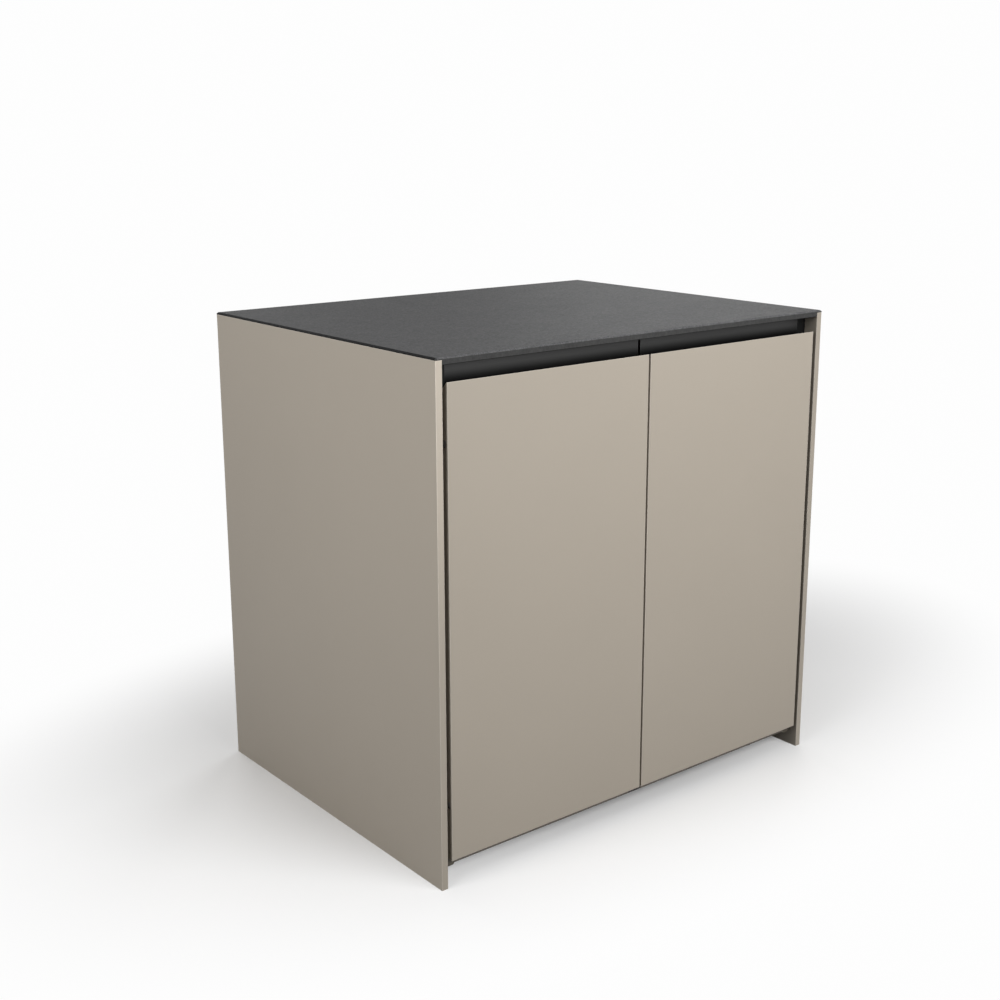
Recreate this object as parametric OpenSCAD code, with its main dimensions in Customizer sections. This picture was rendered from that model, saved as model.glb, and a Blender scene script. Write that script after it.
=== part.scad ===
// Handle-less kitchen island: two base cabinets between floor-standing decor
// panels, under one thin worktop that is rebated over the side panels.
// X runs along the front, Y to the back and Z up. The origin is on the floor, at
// the middle of the footprint. All sizes are millimetres. A cabinet is drawn at
// +X, the right one, and mirrored for the left one.

/* [Overall] */
// Width over the side panels
unit_w = 926; // [726:2:1326]
// Depth over the side panels
unit_d = 712; // [640:1:900]
// Height of the worktop's upper face
unit_h = 910; // [820:1:960]

/* [Worktop] */
// Thickness of the slab
top_t = 12; // [10:0.5:30]
// Thickness that the rebate leaves over the side panels
lip_t = 4; // [3:0.5:8]
// Width of the bevel round the slab's upper edge
top_bevel = 2.5; // [0.5:0.5:2.5]
// Width of the bevel under the slab's front and rear edges
under_bevel = 0.5; // [0.3:0.1:1.5]
// Joint between the slab and the side panels' inner faces
top_joint = 0.5; // [0.3:0.1:0.9]

/* [Decor panels] */
// Thickness of the side panels and the back panel
panel_t = 13; // [10:1:19]
// Radius of the panels' upright edges
panel_arris = 1; // [0.5:0.1:2]
// Play between the back panel and the side panels
panel_play = 0.4; // [0.2:0.1:0.8]

/* [Doors] */
// Thickness of a door
door_t = 13; // [12:0.5:16]
// Height of the doors' lower edge above the floor
door_lift = 48; // [42:0.5:90]
// Finger opening between the doors' upper edge and the worktop
grip_h = 28.2; // [22:0.1:40]
// Flat left in front of the 45 degree bevel behind the doors' upper edge
grip_flat = 1.5; // [1.5:0.25:6]
// Gap between a door and its side panel
side_gap = 9; // [5:0.25:12]
// Gap between the two doors
mid_gap = 4.5; // [2:0.5:6]
// Air between the doors' back and the carcass
door_air = 3; // [3:0.5:5]
// Radius of the doors' edges
door_arris = 0.8; // [0.3:0.1:1.5]

/* [Carcass] */
// Depth of the cabinets
carcass_d = 560; // [450:10:580]
// Height of the cabinets' underside above the floor
carcass_lift = 34; // [32:1:60]
// Thickness of the carcass boards and shelves
board_t = 16; // [15:1:19]
// Thickness of the carcass backs
back_t = 8; // [4:1:10]
// Distance of the carcass backs from the sides' rear edges
back_inset = 20; // [10:1:40]
// Depth of a groove that holds a carcass back
groove_d = 8; // [5:0.5:9]
// Width of the front and rear rails
rail_w = 80; // [60:5:120]
// Drop of the sides below the bottom panel
side_drop = 3.5; // [2:0.5:5]
// Chamfer of the outer sides' lower inner edge
side_chamfer = 3; // [1:0.5:6]

/* [Spacer strips] */
// Thickness between a cabinet and its side panel
spacer_t = 9; // [6:1:20]
// Width of a spacer strip
spacer_w = 60; // [40:5:100]

/* [Shelves] */
// Height of the shelves above the bottom panels
shelf_rise = 390; // [260:5:430]
// Distance of a shelf's front edge behind the sides' front edges
shelf_setback = 24; // [15:1:60]
// Play at each end of a shelf
shelf_play = 0.75; // [0.5:0.05:0.95]
// Diameter of the shelf pins
pin_d = 5; // [3:1:5]
// Projection of a shelf pin
pin_out = 8; // [6:1:12]
// Depth of the holes for shelf pins and hinge screws
hole_depth = 11; // [9:0.5:12]
// Distance of the front row of holes from the sides' front edges
row_inset = 37; // [32:1:45]
// Spacing of the holes in a row
hole_pitch = 32; // [25:1:40]
// Number of holes above and below the shelf in each row
spare_holes = 3; // [1:1:4]

/* [Grip channel] */
// Distance of the channel's back wall behind the doors' front
grip_depth = 28; // [26:0.5:40]
// Depth of the channel below the doors' upper edge
grip_drop = 25; // [20:1:40]
// Wall of the channel
channel_t = 1.6; // [1.2:0.1:2.5]
// Inner radius of the channel's curved foot
channel_r = 10; // [4:0.5:10]
// Height of the channel's front lip
channel_lip = 8; // [5:0.5:15]
// Depth of the channel's mounting leg under the front rail
channel_leg = 15; // [8:1:30]
// Gap between the two channels at the middle
channel_gap = 6; // [2:1:12]
// Air behind that gap, in front of the cabinets' inner sides
joint_air = 16; // [0:1:30]
// Radius of the end cap's upright edge
cap_r = 3; // [1:0.5:10]

/* [Hinges] */
// Height of a hinge above or below the door's edge
hinge_inset = 100; // [80:5:150]
// Distance of the hinge pin from the door's outer edge
pivot_side = 5.5; // [5.2:0.1:5.7]
// Distance of the hinge pin in front of the door's back
pivot_back = 5; // [4.5:0.1:5]
// Diameter of the hinge pins
hinge_pin_d = 3; // [2.5:0.5:4]
// Diameter of a knuckle
knuckle_d = 6.8; // [6:0.2:7]
// Height of an upper or lower knuckle
knuckle_h = 8; // [6:0.5:12]
// Width of a hinge arm, which is its middle knuckle's height
arm_w = 12; // [10:1:16]
// Length of a hinge arm along the side
arm_len = 60; // [58:1:90]
// Projection of a hinge arm over its plate
arm_rise = 10; // [8:0.5:14]
// Thickness of the arm's crank in front of the side
crank_t = 2; // [1.5:0.1:2]
// Diameter of a hinge cup
cup_d = 26; // [24:1:35]
// Door left in front of a hinge cup
cup_skin = 3.6; // [3:0.1:5]
// Thickness of the cup's flange
flange_t = 1.4; // [1:0.1:2]
// Thickness of a mounting plate
plate_t = 2.5; // [2:0.5:4]

/* [Feet] */
// Diameter of a foot
foot_d = 30; // [26:1:40]
// Height of a foot's disc
foot_t = 6; // [4:0.5:7]
// Height of a foot's hexagon
hex_h = 7; // [5:0.5:8]
// Diameter of a foot's stud
stud_d = 10; // [8:1:12]
// Length of the stud inside its socket
stud_grip = 10; // [8:1:11]
// Diameter of a socket's flange
flange_d = 44; // [36:1:50]
// Distance of the feet from a cabinet's sides
foot_side = 63; // [40:1:90]
// Distance of the feet from a cabinet's front and rear edges
foot_front = 72; // [60:1:120]
// Forward shift of the right cabinet's outer front foot
foot_shift = 10; // [0:1:20]

/* [Fasteners] */
// Diameter of the screws through the boards
screw_d = 4; // [3:0.5:5]
// Diameter of their heads
head_d = 9; // [7:0.5:12]
// Thickness of their heads
head_t = 2; // [1.5:0.1:3]
// Board left in front of a screw's point
screw_rest = 4; // [3:0.5:5]
// Leg of the back panel's angle brackets
bracket_leg = 40; // [30:1:60]
// Width of the angle brackets
bracket_w = 30; // [20:1:50]
// Thickness of the angle brackets
bracket_t = 2; // [1.5:0.5:3]

/* [Hidden] */

$fn = 48;
eps = 1;                 // overshoot of a cut past a face
LEFT = -1;
RIGHT = 1;
LOWER = 0;
UPPER = 1;
FRONT = 0;
REAR = 1;
INNER = 0;
OUTER = 1;

lacquer = [0.67, 0.63, 0.56];
melamine = [0.60, 0.58, 0.55];
slab_grey = [0.30, 0.30, 0.31];
dark_metal = [0.20, 0.20, 0.21];
black = [0.08, 0.08, 0.09];
nickel = [0.62, 0.62, 0.64];

fit = 0.3;               // air between pieces that pass each other
snug = 0.1;              // play of a board in its groove, a pin in its hole
run = 0.06;              // radial play of a turning or sliding pin
knuckle_air = 0.8;       // air round a knuckle that turns in its pocket
crank_air = 0.5;         // air between a hinge's crank and the side's front edge
groove_rest = 0.5;       // air at the bottom of a carcass back's groove
hole_rest = 1;           // air at the bottom of a shelf pin's hole

front_y = -unit_d / 2;
rear_y = unit_d / 2;
panel_x = unit_w / 2 - panel_t;                // inner face of a side panel
under_top = unit_h - top_t;

side_out = panel_x - spacer_t;                 // outer face of an outer side
side_in = side_out - board_t;                  // its inner face
carcass_y0 = front_y + door_t + door_air;
carcass_y1 = carcass_y0 + carcass_d;
back_y = carcass_y1 - back_inset - back_t;     // front face of a carcass back
side_z = carcass_lift - side_drop;
floor_z = carcass_lift + board_t;              // inner floor of a cabinet

door_top = under_top - grip_h;
door_x0 = mid_gap / 2;
door_x1 = panel_x - side_gap;
door_back = front_y + door_t;

wall_y = front_y + grip_depth;                 // front of the channel's back wall
channel_y = wall_y + channel_t;                // its back
channel_z = door_top - grip_drop;              // inner floor of the channel
notch_z = channel_z - channel_lip - fit;       // foot of the notch for the channel
notch_y = channel_y + fit;
cap_rest = 2;                                  // end cap behind its round edge
cap_y = wall_y + cap_r + cap_rest;             // back of an end cap
rail_y = channel_y;                            // front edge of the front rail

shelf_z = floor_z + shelf_rise;
shelf_pin_z = shelf_z - pin_d / 2;
rear_row_y = back_y - row_inset;

pivot_x = door_x1 - pivot_side;
pivot_y = door_back - pivot_back;
crank_y = carcass_y0 - crank_air;              // back of the arm's crank
cup_depth = door_t - cup_skin;
pocket_r = knuckle_d / 2 + knuckle_air;        // reach of the pocket round a knuckle
neck_t = 3;                                    // thickness of a knuckle's neck
cup_wall = 1.2;                                // wall and floor of a hinge cup
pocket_wall = 1;                               // door left between cup and knuckle
cup_x = pivot_x - pocket_r - pocket_wall - cup_d / 2;
knuckle_z = arm_w / 2 + fit;                   // inner end of an outer knuckle
hinge_half = knuckle_z + knuckle_h;            // outer end of it
rim_w = 1.5;                                   // flange round the cup
ear_r = 6;                                     // radius of the flange's two ears
ear_reach = 7;                                 // reach of an ear past the cup
ear_screw = 3;                                 // its screw past the cup
flange_half = cup_d / 2 + ear_reach;           // half height of a cup's flange
screw_z = cup_d / 2 + ear_screw;               // flange screw above a cup's middle
plate_screw_y = carcass_y0 + row_inset;
arm_x = side_in - plate_t;                     // face of the plate under the arm

hex_z = foot_t + hex_h;
socket_t = 4;                                  // thickness of a socket's flange
socket_z = carcass_lift - socket_t;            // its underside
sleeve_t = 3;                                  // wall of a socket's sleeve
sleeve_r = stud_d / 2 + sleeve_t;
stud_top = socket_z + stud_grip;
cap_t = 2;                                     // thickness of an adjusting hole's cap

strip_screw = 0.75;                            // place of a screw across the front strip
strip_notch = 0.6;                             // share of that strip cut for the cap
screw_rise = 40;                               // lower panel screws above the cabinet's floor
screw_fall = 49;                               // upper ones below the hinge plates' holes
panel_screw_z = [floor_z + screw_rise, hinge_z(UPPER) - hole_pitch / 2 - screw_fall];
panel_screw_y = [carcass_y0 + spacer_w * strip_screw, back_y - head_d];
strip_y = [carcass_y0, panel_screw_y[1] - spacer_w / 2];
connector_inset = 90;                          // connecting screws from floor and notch
connector_step = 40;                           // and from the rows of holes
connector_z = [floor_z + connector_inset, notch_z - connector_inset];
connector_y = [plate_screw_y + connector_step, rear_row_y - connector_step];
bracket_inset = 120;                           // brackets from the floor and the worktop
bracket_z = [bracket_inset, under_top - bracket_inset];

// Height of a hinge's middle on a door
function hinge_z(level) = level == LOWER ? door_lift + hinge_inset : door_top - hinge_inset;

// Place of a foot: side, row and column pick it
function foot_xy(side, row, col) = [
    col == INNER ? foot_side : side_out - foot_side,
    row == REAR ? carcass_y1 - foot_front
        : carcass_y0 + foot_front - (side == RIGHT && col == OUTER ? foot_shift : 0)
];

// Draws its children for the right cabinet, or mirrored for the left one
module on_side(side) {
    if (side == RIGHT) children();
    else mirror([1, 0, 0]) children();
}

// Rectangle with round corners
module round_rect(size, r) {
    translate([r, 0]) square([size[0] - 2 * r, size[1]]);
    translate([0, r]) square([size[0], size[1] - 2 * r]);
    for (x = [r, size[0] - r], y = [r, size[1] - r]) translate([x, y]) circle(r);
}

// Board whose upright and long edges are eased
module eased_board(size, r) {
    intersection() {
        linear_extrude(size[2]) round_rect([size[0], size[1]], r);
        rotate([90, 0, 90]) linear_extrude(size[0]) round_rect([size[1], size[2]], r);
    }
}

// Cylinder along +X from its foot
module rod_x(r, h) rotate([0, 90, 0]) cylinder(r = r, h = h);

// Cylinder along -Y from its foot
module rod_front(r, h) rotate([90, 0, 0]) cylinder(r = r, h = h);

// ---- Worktop and decor panels ----

// Closed outline from its right half, which is listed upward
function both_sides(half) =
    concat(half, [for (i = [len(half) - 1:-1:0]) [-half[i][0], half[i][1]]]);

// Slab's outline across the front: rebates below, bevels above
module top_profile_x() {
    inner = panel_x - top_joint;
    polygon(both_sides([
        [inner, 0], [inner, top_t - lip_t], [unit_w / 2, top_t - lip_t],
        [unit_w / 2, top_t - top_bevel], [unit_w / 2 - top_bevel, top_t]
    ]));
}

// Slab's outline from front to back
module top_profile_y() {
    polygon(both_sides([
        [unit_d / 2 - under_bevel, 0], [unit_d / 2, under_bevel],
        [unit_d / 2, top_t - top_bevel], [unit_d / 2 - top_bevel, top_t]
    ]));
}

module worktop() {
    color(slab_grey) translate([0, 0, under_top]) intersection() {
        translate([0, rear_y, 0]) rotate([90, 0, 0]) linear_extrude(unit_d) top_profile_x();
        translate([-unit_w / 2, 0, 0]) rotate([90, 0, 90])
            linear_extrude(unit_w) top_profile_y();
    }
}

module side_panel(side) {
    color(lacquer) on_side(side) difference() {
        translate([panel_x, front_y, 0])
            linear_extrude(unit_h - lip_t) round_rect([panel_t, unit_d], panel_arris);
        panel_screw_holes();
    }
}

module back_panel() {
    w = panel_x - panel_play;
    color(lacquer) translate([-w, rear_y - panel_t, 0])
        linear_extrude(under_top) round_rect([2 * w, panel_t], panel_arris);
}

// Angle brackets between the back panel and the side panels
module back_panel_brackets() {
    color(nickel) for (side = [LEFT, RIGHT], z = bracket_z) on_side(side)
        translate([panel_x, rear_y - panel_t, z - bracket_w / 2])
            bracket();
}

module bracket() {
    hole = bracket_leg * 0.6;    // from the corner
    difference() {
        linear_extrude(bracket_w) {
            translate([-bracket_leg, -bracket_t]) square([bracket_leg, bracket_t]);
            translate([-bracket_t, -bracket_leg]) square([bracket_t, bracket_leg]);
        }
        translate([-hole, eps, bracket_w / 2]) rod_front(screw_d / 2, bracket_t + 2 * eps);
        translate([-bracket_t - eps, -hole, bracket_w / 2])
            rod_x(screw_d / 2, bracket_t + 2 * eps);
    }
}

// ---- Carcass ----

// Side board that stands from the height foot up to the worktop
module side_board(foot) {
    translate([0, carcass_y0, foot]) cube([board_t, carcass_d, under_top - foot]);
}

// Groove for the carcass back, on the inner face at x
module back_groove(x, dir) {
    translate([dir > 0 ? x - eps : x - groove_d, back_y - snug, side_z - eps])
        cube([groove_d + eps, back_t + 2 * snug, under_top - side_z + 2 * eps]);
}

// Rows of blind holes for shelf pins, on the inner face at x
module shelf_holes(x, dir) {
    for (y = [plate_screw_y, rear_row_y], i = [-spare_holes:spare_holes])
        translate([dir > 0 ? x - eps : x - hole_depth, y, shelf_pin_z + i * hole_pitch])
            rod_x(pin_d / 2, hole_depth + eps);
}

// Space that the channel and its end cap take from a side board
module channel_notch(depth_y) {
    translate([-unit_w, carcass_y0 - eps, notch_z])
        cube([2 * unit_w, depth_y - carcass_y0 + eps, under_top - notch_z + eps]);
}

module outer_side(side) {
    color(melamine) on_side(side) difference() {
        translate([side_in, 0, 0]) side_board(side_z);
        channel_notch(cap_y + fit);
        back_groove(side_in, RIGHT);
        shelf_holes(side_in, RIGHT);
        for (level = [LOWER, UPPER], s = [-1, 1])
            translate([side_in - eps, plate_screw_y, hinge_z(level) + s * hole_pitch / 2])
                rod_x(pin_d / 2, hole_depth + eps);
        panel_screw_holes();
        translate([side_in, 0, side_z]) rotate([0, 45, 0])
            cube([side_chamfer * sqrt(2), 3 * unit_d, side_chamfer * sqrt(2)], center = true);
    }
}

module inner_side(side) {
    color(melamine) on_side(side) difference() {
        side_board(carcass_lift);
        channel_notch(notch_y + joint_air);
        back_groove(board_t, LEFT);
        shelf_holes(board_t, LEFT);
        for (z = connector_z, y = connector_y)
            translate([-eps, y, z]) rod_x(screw_d / 2 + snug, board_t + 2 * eps);
    }
}

module bottom_panel(side) {
    color(melamine) on_side(side) difference() {
        translate([board_t, carcass_y0, carcass_lift])
            cube([side_in - board_t, back_y - carcass_y0, board_t]);
        for (row = [FRONT, REAR], col = [INNER, OUTER])
            translate(concat(foot_xy(side, row, col), carcass_lift - eps))
                cylinder(r = sleeve_r + snug, h = board_t + 2 * eps);
    }
}

module carcass_back(side) {
    reach = groove_d - groove_rest;
    color(melamine) on_side(side) translate([board_t - reach, back_y, carcass_lift])
        cube([side_in - board_t + 2 * reach, back_t, under_top - carcass_lift]);
}

module rail(y) {
    translate([board_t, y, under_top - board_t]) cube([side_in - board_t, rail_w, board_t]);
}

module front_rail(side) color(melamine) on_side(side) rail(rail_y);

module rear_rail(side) color(melamine) on_side(side) rail(back_y - rail_w);

// Strips that hold the side panel off the cabinet: front and rear
module spacer_strips(side) {
    color(black) on_side(side) difference() {
        for (y = strip_y) translate([side_out, y, side_z])
            cube([spacer_t, spacer_w, under_top - side_z]);
        channel_notch(carcass_y0 + spacer_w * strip_notch);
        panel_screw_holes();
    }
}

// ---- Shelves ----

module shelf(side) {
    color(melamine) on_side(side)
        translate([board_t + shelf_play, carcass_y0 + shelf_setback, shelf_z])
            cube([side_in - board_t - 2 * shelf_play,
                  back_y - carcass_y0 - shelf_setback - fit, board_t]);
}

// Four pins under a shelf, each with a collar against its side
module shelf_pins(side) {
    color(nickel) on_side(side) for (y = [plate_screw_y, rear_row_y]) {
        translate([board_t, y, shelf_pin_z]) shelf_pin();
        translate([side_in, y, shelf_pin_z]) mirror([1, 0, 0]) shelf_pin();
    }
}

module shelf_pin() {
    collar_t = shelf_play - snug;
    collar_w = 2;
    inside = hole_depth - hole_rest;
    translate([-inside, 0, 0]) rod_x(pin_d / 2 - snug / 2, inside + pin_out);
    rod_x(pin_d / 2 + collar_w, collar_t);
}

// ---- Grip channel ----

// Hollow of the channel, grown by its wall for the outside; starts at y
module channel_area(y, grow) {
    r = channel_r + grow;
    back = wall_y + grow;
    foot = channel_z - grow;
    translate([back - r, foot + r]) circle(r);
    translate([y, foot]) square([back - r - y, under_top - foot]);
    translate([y, foot + r]) square([back - y, under_top - foot - r]);
}

// Curved wall with its front lip
module channel_section() {
    lip_y = carcass_y0 + fit;
    depth = channel_y - lip_y;
    intersection() {
        difference() {
            channel_area(lip_y, channel_t);
            channel_area(carcass_y0 - eps, 0);
        }
        translate([lip_y, notch_z]) square([depth, under_top - notch_z]);
    }
    translate([lip_y, channel_z - channel_lip]) square([channel_t, channel_lip]);
}

module grip_channel(side) {
    x0 = channel_gap / 2;
    x1 = side_in - snug;
    leg_x = board_t + fit;
    leg_z = under_top - board_t - channel_t;
    color(dark_metal) on_side(side) {
        translate([x0, 0, 0]) rotate([90, 0, 90]) linear_extrude(x1 - x0) channel_section();
        translate([leg_x, channel_y - channel_t / 2, leg_z])
            cube([x1 - leg_x, channel_leg, channel_t]);
    }
}

// Moulded cap between the channel and the side panel, with a round upright edge
module channel_cap(side) {
    x0 = side_in + snug;
    x1 = panel_x - snug;
    foot_y = carcass_y0 + fit;
    color(black) on_side(side) {
        translate([0, 0, notch_z]) linear_extrude(under_top - notch_z) intersection() {
            translate([x0, wall_y]) square([x1 - x0, cap_y - wall_y]);
            union() {
                translate([x0, wall_y]) square([x1 - cap_r - x0, cap_y - wall_y]);
                translate([x0, wall_y + cap_r]) square([x1 - x0, cap_y - wall_y - cap_r]);
                translate([x1 - cap_r, wall_y + cap_r]) circle(cap_r);
            }
        }
        translate([x0, foot_y, notch_z]) cube([x1 - x0, cap_y - foot_y, channel_z - notch_z]);
    }
}

// ---- Doors and hinges ----

module door(side) {
    color(lacquer) on_side(side) difference() {
        translate([door_x0, front_y, door_lift])
            eased_board([door_x1 - door_x0, door_t, door_top - door_lift], door_arris);
        grip_bevel();
        for (level = [LOWER, UPPER]) translate([0, 0, hinge_z(level)]) hinge_pocket();
    }
}

// Wedge cut off behind a door's upper edge, for the fingers
module grip_bevel() {
    run_y = door_t - grip_flat + eps;
    translate([0, front_y + grip_flat, door_top]) rotate([90, 0, 90]) linear_extrude(unit_w / 2)
        polygon([[-eps, eps], [run_y, eps], [run_y, -run_y], [0, 0]]);
}

// Cuts in a door's back for one hinge: cup, flange, knuckles and arm
module hinge_pocket() {
    cut = pivot_back + pocket_r;
    translate([cup_x, door_back + eps, 0]) rod_front(cup_d / 2, cup_depth + eps);
    translate([0, door_back + eps, 0]) rotate([90, 0, 0])
        linear_extrude(flange_t + eps) flange_outline(snug);
    translate([pivot_x - pocket_r, door_back - cut, -hinge_half - fit])
        cube([2 * pocket_r - fit, cut + eps, 2 * (hinge_half + fit)]);
    translate([pivot_x - pocket_r, door_back - cut, -arm_w / 2 - fit])
        cube([pocket_r + pivot_side + eps, cut + eps, arm_w + 2 * fit]);
}

// Outline of a cup's flange, seen along Y, grown by the play in its recess
module flange_outline(grow) {
    translate([cup_x, 0]) circle(cup_d / 2 + rim_w + grow);
    for (s = [-1, 1]) translate([cup_x, s * (flange_half - ear_r)]) circle(ear_r + grow);
    translate([cup_x - ear_r - grow, ear_r - flange_half])
        square([2 * (ear_r + grow), 2 * (flange_half - ear_r)]);
    translate([cup_x, -hinge_half - grow])
        square([pivot_x - cup_x + neck_t / 2 + grow, 2 * (hinge_half + grow)]);
}

// Cup, flange and outer knuckles: the half that turns with the door
module hinge_cup(side, level) {
    slot_x = 4;    // start of the arm's slot, before the cup's middle
    color(nickel) on_side(side) translate([0, 0, hinge_z(level)]) difference() {
        union() {
            translate([0, door_back, 0]) rotate([90, 0, 0])
                linear_extrude(flange_t) flange_outline(0);
            translate([cup_x, door_back, 0]) rod_front(cup_d / 2 - snug, cup_depth - snug);
            for (z = [-hinge_half, knuckle_z]) translate([0, 0, z]) {
                translate([pivot_x, pivot_y, 0]) cylinder(d = knuckle_d, h = knuckle_h);
                translate([pivot_x - neck_t / 2, pivot_y, 0]) cube([neck_t, pivot_back, knuckle_h]);
            }
        }
        difference() {
            translate([cup_x, door_back + eps, 0])
                rod_front(cup_d / 2 - cup_wall, cup_depth + eps - cup_wall);
            translate([cup_x - slot_x, door_back - cup_depth, -arm_w / 2])
                cube([cup_d, cup_depth - flange_t, arm_w]);
        }
        translate([pivot_x - pocket_r, door_back - pivot_back - pocket_r, -knuckle_z])
            cube([2 * pocket_r, pivot_back + pocket_r + eps, 2 * knuckle_z]);
        translate([pivot_x, pivot_y, -hinge_half - eps])
            cylinder(d = hinge_pin_d + 2 * run, h = 2 * (hinge_half + eps));
        for (s = [-1, 1]) translate([cup_x, door_back + eps, s * screw_z])
            rod_front(screw_d / 2, flange_t + 2 * eps);
    }
}

// Fixed arm: lies on its plate, cranks in front of the side and ends in a knuckle
module hinge_arm(side, level) {
    face = arm_x - arm_rise;
    rear = carcass_y0 + arm_len;
    front = crank_y - crank_t;
    tip = pivot_x + neck_t / 2;
    root = pivot_x - neck_t / 2;
    bend = 4;                                   // chamfer of the crank's corner
    tail = [3, 8];                              // taper of the rear end
    screw_y = [carcass_y0 + 16, rear - 14];     // depth and side adjusting screws
    color(nickel) on_side(side) translate([0, 0, hinge_z(level)]) difference() {
        union() {
            translate([0, 0, -arm_w / 2]) linear_extrude(arm_w) polygon([
                [tip, pivot_y], [tip, crank_y], [arm_x, crank_y], [arm_x, rear],
                [face + tail[0], rear], [face, rear - tail[1]], [face, carcass_y0 + bend],
                [face + bend, front], [root, front], [root, pivot_y]
            ]);
            translate([pivot_x, pivot_y, -arm_w / 2]) cylinder(d = knuckle_d, h = arm_w);
        }
        translate([pivot_x, pivot_y, -arm_w / 2 - eps])
            cylinder(d = hinge_pin_d + 2 * run, h = arm_w + 2 * eps);
        for (y = screw_y) translate([face - eps, y, 0])
            rod_x(arm_w / 4, arm_rise / 2 + eps);
    }
}

// Cross-shaped plates on the side's inner face, one under each arm
module hinge_plates(side) {
    wing = hole_pitch / 2 + 9;    // reach of the cross past the arm's middle
    wing_w = 16;
    inset = 6;                    // from the side's front edge
    color(nickel) on_side(side) for (level = [LOWER, UPPER])
        translate([arm_x, 0, hinge_z(level)]) difference() {
            union() {
                translate([0, carcass_y0 + inset, -arm_w / 2])
                    cube([plate_t, arm_len - inset, arm_w]);
                translate([0, plate_screw_y - wing_w / 2, -wing])
                    cube([plate_t, wing_w, 2 * wing]);
            }
            for (s = [-1, 1]) translate([-eps, plate_screw_y, s * hole_pitch / 2])
                rod_x(pin_d / 2, plate_t + 2 * eps);
        }
}

module hinge_pins(side) {
    h = 2 * hinge_half;
    color(nickel) on_side(side) for (level = [LOWER, UPPER])
        translate([pivot_x, pivot_y, hinge_z(level) - h / 2]) cylinder(d = hinge_pin_d, h = h);
}

// Soft stops on the door's back, in front of the inner side's edge
module door_bumpers(side) {
    bumper_d = 9;
    tip_d = 7;
    inset = 30;    // from the door's lower edge and from the notch
    color(black) on_side(side) for (z = [door_lift + inset, notch_z - inset])
        translate([board_t / 2 + 1, door_back, z]) rotate([-90, 0, 0])
            cylinder(d1 = bumper_d, d2 = tip_d, h = door_air - fit);
}

// ---- Feet ----

// Foot with its disc, hexagon and stud
module foot(side, row, col) {
    hex_r = stud_d * 0.85;
    arris = 1;
    fall = 3;      // of the disc from its hexagon to its edge
    color(black) on_side(side) translate(foot_xy(side, row, col)) {
        rotate_extrude() polygon([
            [0, 0], [foot_d / 2 - arris, 0], [foot_d / 2, arris], [foot_d / 2, foot_t - fall],
            [hex_r + arris, foot_t], [0, foot_t]
        ]);
        translate([0, 0, foot_t - eps]) cylinder(r = hex_r, h = hex_h + eps, $fn = 6);
        translate([0, 0, hex_z - eps]) cylinder(d = stud_d, h = stud_top - hex_z + eps);
    }
}

// Flanged sleeves let into the bottom panel
module foot_sockets(side) {
    color(black) on_side(side) for (row = [FRONT, REAR], col = [INNER, OUTER])
        translate(foot_xy(side, row, col)) difference() {
            union() {
                translate([0, 0, socket_z]) cylinder(d = flange_d, h = carcass_lift - socket_z);
                translate([0, 0, socket_z]) cylinder(r = sleeve_r, h = floor_z - socket_z);
            }
            translate([0, 0, socket_z - eps])
                cylinder(d = stud_d + 2 * run, h = floor_z - socket_z + 2 * eps);
        }
}

// Caps over the adjusting holes, inside the cabinet
module foot_hole_caps(side) {
    brim = 4;      // reach of a cap past its sleeve
    taper = 1;
    plug = 1;      // depth of the plug in the sleeve's bore
    color(melamine) on_side(side) for (row = [FRONT, REAR], col = [INNER, OUTER])
        translate(concat(foot_xy(side, row, col), floor_z)) {
            cylinder(r1 = sleeve_r + brim, r2 = sleeve_r + brim - taper, h = cap_t);
            translate([0, 0, -plug]) cylinder(d = stud_d - snug, h = plug + eps);
        }
}

// ---- Fasteners ----

// Holes from the cabinet through a spacer strip into the side panel
module panel_screw_holes() {
    for (y = panel_screw_y, z = panel_screw_z) translate([side_in - eps, y, z])
        rod_x(screw_d / 2 + snug, panel_x + panel_t - screw_rest - side_in + 2 * eps);
}

module side_panel_screws(side) {
    color(nickel) on_side(side) for (y = panel_screw_y, z = panel_screw_z)
        translate([side_in, y, z]) {
            rod_x(screw_d / 2, panel_x + panel_t - screw_rest - side_in);
            translate([-head_t, 0, 0]) rod_x(head_d / 2, head_t);
        }
}

// Connecting screws between the two cabinets, a head at each end
module cabinet_connectors() {
    color(nickel) for (z = connector_z, y = connector_y) translate([0, y, z]) {
        translate([-board_t, 0, 0]) rod_x(screw_d / 2, 2 * board_t);
        for (s = [-1, 1]) translate([s * (board_t + head_t / 2) - head_t / 2, 0, 0])
            rod_x(head_d / 2, head_t);
    }
}

worktop();
side_panel(LEFT);  // side_panel_left
side_panel(RIGHT);  // side_panel_right
back_panel();
outer_side(LEFT);  // outer_side_left
outer_side(RIGHT);  // outer_side_right
inner_side(LEFT);  // inner_side_left
inner_side(RIGHT);  // inner_side_right
bottom_panel(LEFT);  // bottom_panel_left
bottom_panel(RIGHT);  // bottom_panel_right
carcass_back(LEFT);  // carcass_back_left
carcass_back(RIGHT);  // carcass_back_right
front_rail(LEFT);  // front_rail_left
front_rail(RIGHT);  // front_rail_right
rear_rail(LEFT);  // rear_rail_left
rear_rail(RIGHT);  // rear_rail_right
spacer_strips(LEFT);  // spacer_strips_left
spacer_strips(RIGHT);  // spacer_strips_right
shelf(LEFT);  // shelf_left
shelf(RIGHT);  // shelf_right
shelf_pins(LEFT);  // shelf_pins_left
shelf_pins(RIGHT);  // shelf_pins_right
grip_channel(LEFT);  // grip_channel_left
grip_channel(RIGHT);  // grip_channel_right
channel_cap(LEFT);  // channel_cap_left
channel_cap(RIGHT);  // channel_cap_right
door(LEFT);  // door_left
door(RIGHT);  // door_right
door_bumpers(LEFT);  // door_bumpers_left
door_bumpers(RIGHT);  // door_bumpers_right
hinge_cup(LEFT, LOWER);  // hinge_cup_left_lower
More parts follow.
